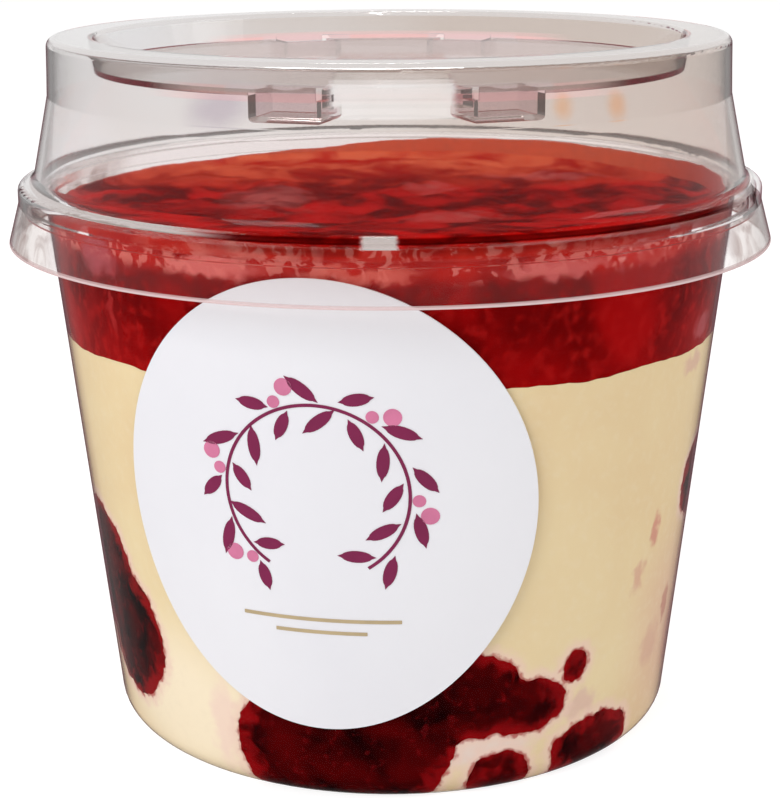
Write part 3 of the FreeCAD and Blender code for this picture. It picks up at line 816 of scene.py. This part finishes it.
film = lathe("jelly_film", film_outline(), TURNS)
climbing = film.vertex_groups.new(name="climbing")
for point in film.data.vertices:
    share = (point.co.z - jelly_top) / FILM_RISE
    if share > 0:
        if point.co.y > 0 and point.co.x < 0:
            point.co.z -= 0.7 * share * FILM_RISE * min(1.0, -point.co.x / (20 * MM))
        elif point.co.y > 0:
            point.co.z += 0.25 * share * FILM_RISE * min(1.0, point.co.x / (8 * MM))
        climbing.add([point.index], share, "REPLACE")
lift(film, "film_tongues", 14 * MM, FILM_TONGUES, "Z", "climbing")
lift(film, "film_edge", 1.6 * MM, 0.25 * MM, "Z", "climbing")
finish_shape(film, 50)


def film_material():
    """Thin orange-red jelly, pinker at the back, with patches of pale pulp in front."""
    made, tree, shader = new_material("orange_red_film")
    look = grain(tree, 130.0, 900.0, 0.5)
    x, y, _ = add_node(tree, "ShaderNodeSeparateXYZ", Vector=object_place(tree)).outputs
    colour = mix_colours(tree, look["Broad"], FILM_RED, FILM_ORANGE)
    colour = mix_colours(tree, ramp(tree, y, 0.0, 30 * MM, 0.0, 0.85), colour, FILM_BACK)
    pulp = add_node(tree, "ShaderNodeGroup", {"node_tree": pulp_specks}).outputs["Mask"]
    pulp = times(tree, pulp, band(tree, y, -OUTSIDE, -20 * MM, 15 * MM),
                 band(tree, x, -15 * MM, 16 * MM, 20 * MM), look["Broad"], 0.9)
    colour = mix_colours(tree, pulp, colour, FILM_PULP)
    tree.links.new(colour, shader.inputs["Base Color"])
    tree.links.new(ramp(tree, look["Fine"], 0.3, 0.7, 1.0, 0.85), shader.inputs["Alpha"])
    shader.inputs["Roughness"].default_value = 0.3
    shader.inputs["Specular IOR Level"].default_value = 0.2
    return made


dress(film, film_material())
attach(film, "root")

# --- Sticker -------------------------------------------------------------------------------------
# A die-cut oval of white coated paper, stuck round the wall. Its CAD shape stays; the paper is
# faintly cloudy and has a fine tooth.

PAPER_DIM = (0.80, 0.79, 0.83, 1.0)
PAPER_WHITE = (0.84, 0.83, 0.86, 1.0)


def paper_material():
    """White coated paper with a soft sheen."""
    made, tree, shader = new_material("white_coated_paper")
    look = grain(tree, 25.0, 1800.0, 0.6)
    tree.links.new(mix_colours(tree, look["Broad"], PAPER_DIM, PAPER_WHITE), shader.inputs["Base Color"])
    bump = add_node(tree, "ShaderNodeBump", Strength=0.15, Distance=0.05 * MM, Height=look["Fine"])
    tree.links.new(bump.outputs["Normal"], shader.inputs["Normal"])
    shader.inputs["Roughness"].default_value = 0.45
    shader.inputs["Specular IOR Level"].default_value = 0.35
    return made


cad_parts["sticker"].material_slots[0].material = paper_material()

# --- Print ---------------------------------------------------------------------------------------
# A plain open wreath printed on the sticker: maroon stem and leaves, pink berries, and two fine tan
# lines under it. Each colour is cut flat, laid on the paper and given the thickness of its ink.

MAROON = (0.23, 0.006, 0.070, 1.0)
BERRY_PINK = (0.72, 0.20, 0.36, 1.0)
TAN = (0.55, 0.42, 0.24, 1.0)
STICKER_TURN = -12.1        # degrees from the front
INK = 0.03 * MM
WREATH_R = 10.8 * MM
WREATH_GAP = 32.0           # degrees left open on each side of the bottom
STEM_IN = WREATH_R - 0.2 * MM
STEM_OUT = 1.037            # the stem's outer edge as a multiple of its inner one
FIRST_LEAF = WREATH_GAP + 4
LEAF_PAIRS = 11
LEAF_LENGTH = 3.6 * MM
LEAF_WIDTH = 1.5 * MM
LEAF_POINT = 1.25           # how far a leaf's ends are drawn out to points
LEAF_OUT = 1.9 * MM         # from the stem to a leaf's middle
LEAF_SPREAD = 38            # degrees between a leaf and the stem
LINE_WIDTH = 0.45 * MM
IN_FRONT = -OUTSIDE         # where the flat print is drawn
print_z = (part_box("sticker")[0][2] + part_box("sticker")[1][2]) / 2 + 2.5 * MM


def flat_disc(x, z, length, width, tilt, pointed):
    """A filled flat oval in front of the sticker, drawn out to points at both ends for a leaf."""
    bpy.ops.object.select_all(action="DESELECT")
    bpy.ops.mesh.primitive_circle_add(vertices=20, radius=0.5, fill_type="NGON")
    made = bpy.context.object
    if pointed:
        pick_points(made, lambda at: abs(at.x) > 0.49)
        bpy.ops.transform.resize(value=(LEAF_POINT, 1.0, 1.0), center_override=(0, 0, 0))
        bpy.ops.object.mode_set(mode="OBJECT")
    made.scale = (length, width, 1.0)
    made.rotation_euler = (math.pi / 2, -math.radians(tilt), 0.0)
    made.location = (x, IN_FRONT, z)
    bpy.ops.object.transform_apply(location=True, rotation=True, scale=True)
    return made


def on_wreath(turn, radius):
    """A place on the wreath by its turn from the bottom in degrees, anticlockwise."""
    return (radius * math.sin(math.radians(turn)), print_z - radius * math.cos(math.radians(turn)))


def lay_print(name, parts, colour):
    """Joins flat parts of one colour, wraps them on the sticker and makes them an ink film."""
    bpy.ops.object.select_all(action="DESELECT")
    for part in parts:
        part.select_set(True)
    bpy.context.view_layer.objects.active = parts[0]
    bpy.ops.object.join()
    piece = bpy.context.object
    piece.name = name
    finer = piece.modifiers.new("finer", "SUBSURF")
    finer.subdivision_type = "SIMPLE"
    finer.levels = finer.render_levels = 2
    piece.rotation_euler = (0.0, 0.0, math.radians(STICKER_TURN))
    wrap = piece.modifiers.new("wrap", "SHRINKWRAP")
    wrap.wrap_method = "PROJECT"
    wrap.use_project_y = True
    wrap.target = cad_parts["sticker"]
    wrap.offset = INK
    thick = piece.modifiers.new("ink", "SOLIDIFY")
    thick.thickness = INK
    thick.offset = 1.0
    finish_shape(piece)
    bpy.ops.object.transform_apply(rotation=True)
    made, tree, shader = new_material(name + "_ink")
    look = grain(tree, 250.0, 1500.0, 0.6)
    worn = tuple(0.85 * v for v in colour[:3]) + (1,)
    tree.links.new(mix_colours(tree, look["Broad"], worn, colour), shader.inputs["Base Color"])
    shader.inputs["Roughness"].default_value = 0.4
    dress(piece, made)
    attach(piece, "root")


bpy.ops.object.select_all(action="DESELECT")
bpy.ops.mesh.primitive_circle_add(vertices=120, radius=STEM_IN, location=(0, IN_FRONT, print_z),
                                  rotation=(math.pi / 2, 0, 0))
stem = bpy.context.object
bpy.ops.object.mode_set(mode="EDIT")
bpy.ops.mesh.extrude_region_move(TRANSFORM_OT_translate={"value": (0, 0, 0)})
bpy.ops.transform.resize(value=(STEM_OUT, 1.0, STEM_OUT), center_override=(0, IN_FRONT, print_z))
bpy.ops.object.mode_set(mode="OBJECT")
bpy.ops.object.transform_apply(location=True, rotation=True, scale=True)
for face in stem.data.polygons:
    turn = math.degrees(math.atan2(face.center.x, print_z - face.center.z))
    face.select = abs(turn) < WREATH_GAP
bpy.ops.object.mode_set(mode="EDIT")
bpy.ops.mesh.select_mode(type="FACE")
bpy.ops.mesh.delete(type="FACE")
bpy.ops.mesh.select_mode(type="VERT")
bpy.ops.mesh.select_all(action="SELECT")
bpy.ops.mesh.normals_make_consistent(inside=False)
bpy.ops.object.mode_set(mode="OBJECT")
if stem.data.polygons[0].normal.y > 0:
    stem.data.flip_normals()

leaves = [stem]
berries = []
for i in range(LEAF_PAIRS):
    turn = FIRST_LEAF + (360 - 2 * FIRST_LEAF) * i / (LEAF_PAIRS - 1)
    grows = 1 if turn < 180 else -1
    for side in (1, -1):
        x, z = on_wreath(turn + 5 * side, WREATH_R + side * LEAF_OUT)
        length = LEAF_LENGTH + 0.5 * MM * math.sin(3 * i)
        leaves.append(flat_disc(x, z, length, LEAF_WIDTH, turn + grows * side * LEAF_SPREAD, True))
    if i % 2:
        for ahead, out, across in ((14, 2.4 * MM, 2.1 * MM), (22, 1.0 * MM, 1.5 * MM)):
            x, z = on_wreath(turn + ahead, WREATH_R + out)
            berries.append(flat_disc(x, z, across, across, 0, False))
lay_print("wreath_print", leaves, MAROON)
lay_print("berry_print", berries, BERRY_PINK)

lines = []
for drop, length in ((16.0 * MM, 19.0 * MM), (17.6 * MM, 11.0 * MM)):
    bpy.ops.object.select_all(action="DESELECT")
    bpy.ops.mesh.primitive_grid_add(x_subdivisions=24, y_subdivisions=1, size=1.0,
                                    location=(0, IN_FRONT, print_z - drop), rotation=(math.pi / 2, 0, 0))
    line = bpy.context.object
    line.scale = (length, LINE_WIDTH, 1.0)
    bpy.ops.object.transform_apply(location=True, rotation=True, scale=True)
    lines.append(line)
lay_print("line_print", lines, TAN)

# --- Studio --------------------------------------------------------------------------------------
# A plain white floor and backdrop. The camera and clear plastic see them as white; the floor keeps
# the cup's soft shadow, and the lamps and room light the cup at a plain level.

ROOM_LIGHT = 0.60
ROOM_GLOSS = 0.88           # what shiny surfaces mirror of the room, besides the lamps
FLOOR_GLOSS = 0.35          # and of the floor
FLOOR_GLOW = 0.80           # the floor as the camera sees it, under the light that falls on it
FLOOR_SIZE = 6.0
LAMP_AIM = Vector((0, 0, 0.045))


def view_rays(tree):
    """The kinds of ray, and a mask for those that come from the camera or through clear plastic."""
    path = add_node(tree, "ShaderNodeLightPath").outputs
    return path, reckon(tree, "MAXIMUM", path["Is Camera Ray"], path["Is Transmission Ray"])


bpy.ops.object.select_all(action="DESELECT")
bpy.ops.mesh.primitive_plane_add(size=FLOOR_SIZE, location=(0, 0, 0))
floor = bpy.context.object
floor.name = "studio_floor"
floor_look, tree, shader = new_material("white_floor")
shader.inputs["Base Color"].default_value = (0.80, 0.80, 0.80, 1)
shader.inputs["Roughness"].default_value = 0.9
shader.inputs["Specular IOR Level"].default_value = 0.0
path, seen = view_rays(tree)
shade = add_node(tree, "ShaderNodeBsdfDiffuse", Color=(0.35, 0.34, 0.34, 1)).outputs[0]
glow = add_node(tree, "ShaderNodeEmission", Strength=FLOOR_GLOW).outputs[0]
white = add_node(tree, "ShaderNodeAddShader", i0=shade, i1=glow).outputs[0]
dim = add_node(tree, "ShaderNodeEmission", Strength=FLOOR_GLOSS).outputs[0]
plain = mix_shaders(tree, path["Is Glossy Ray"], shader.outputs[0], dim)
tree.links.new(mix_shaders(tree, seen, plain, white), tree.nodes["Material Output"].inputs["Surface"])
floor.data.materials.append(floor_look)

world = bpy.data.worlds.new("studio_room")
bpy.context.scene.world = world
world.use_nodes = True
tree = world.node_tree
path, seen = view_rays(tree)
room = ramp(tree, path["Is Glossy Ray"], 0.0, 1.0, ROOM_LIGHT, ROOM_GLOSS)
tree.links.new(ramp(tree, seen, 0.0, 1.0, room, 1.0), tree.nodes["Background"].inputs["Strength"])
tree.nodes["Background"].inputs["Color"].default_value = (1, 1, 1, 1)


def soft_lamp(name, place, size, power):
    """A square soft box that points at the middle of the cup."""
    lamp = bpy.data.lights.new(name, "AREA")
    lamp.size = size
    lamp.energy = power
    made = bpy.data.objects.new(name, lamp)
    bpy.context.scene.collection.objects.link(made)
    made.matrix_world = (Matrix.Translation(place)
                         @ (LAMP_AIM - Vector(place)).to_track_quat("-Z", "Y").to_matrix().to_4x4())


soft_lamp("key_lamp", (-0.45, -0.55, 0.55), 0.40, 3.8)
soft_lamp("back_lamp", (-0.02, 0.45, 0.62), 0.12, 0.6)
soft_lamp("glint_lamp", (-0.008, 0.9, 0.235), 0.024, 0.012)
soft_lamp("side_lamp", (0.60, -0.10, 0.35), 0.30, 1.2)

bpy.context.scene.view_settings.view_transform = "Standard"

# --- Camera --------------------------------------------------------------------------------------
# A little above the cup, looking down on the jelly through the dome.

CAMERA_PLACE = (0.0, -0.245, 0.1082)
CAMERA_DOWN = 15.46
CAMERA_ROLL = -0.3
lens = bpy.data.cameras.new("view_camera")
lens.sensor_width = 36.0
lens.lens = 85.16
lens.shift_x = -0.00125
lens.clip_start = 0.01
camera = bpy.data.objects.new("view_camera", lens)
bpy.context.scene.collection.objects.link(camera)
camera.matrix_world = (Matrix.Translation(CAMERA_PLACE)
                       @ Matrix.Rotation(math.radians(90.0 - CAMERA_DOWN), 4, "X")
                       @ Matrix.Rotation(math.radians(CAMERA_ROLL), 4, "Z"))
bpy.context.scene.camera = camera
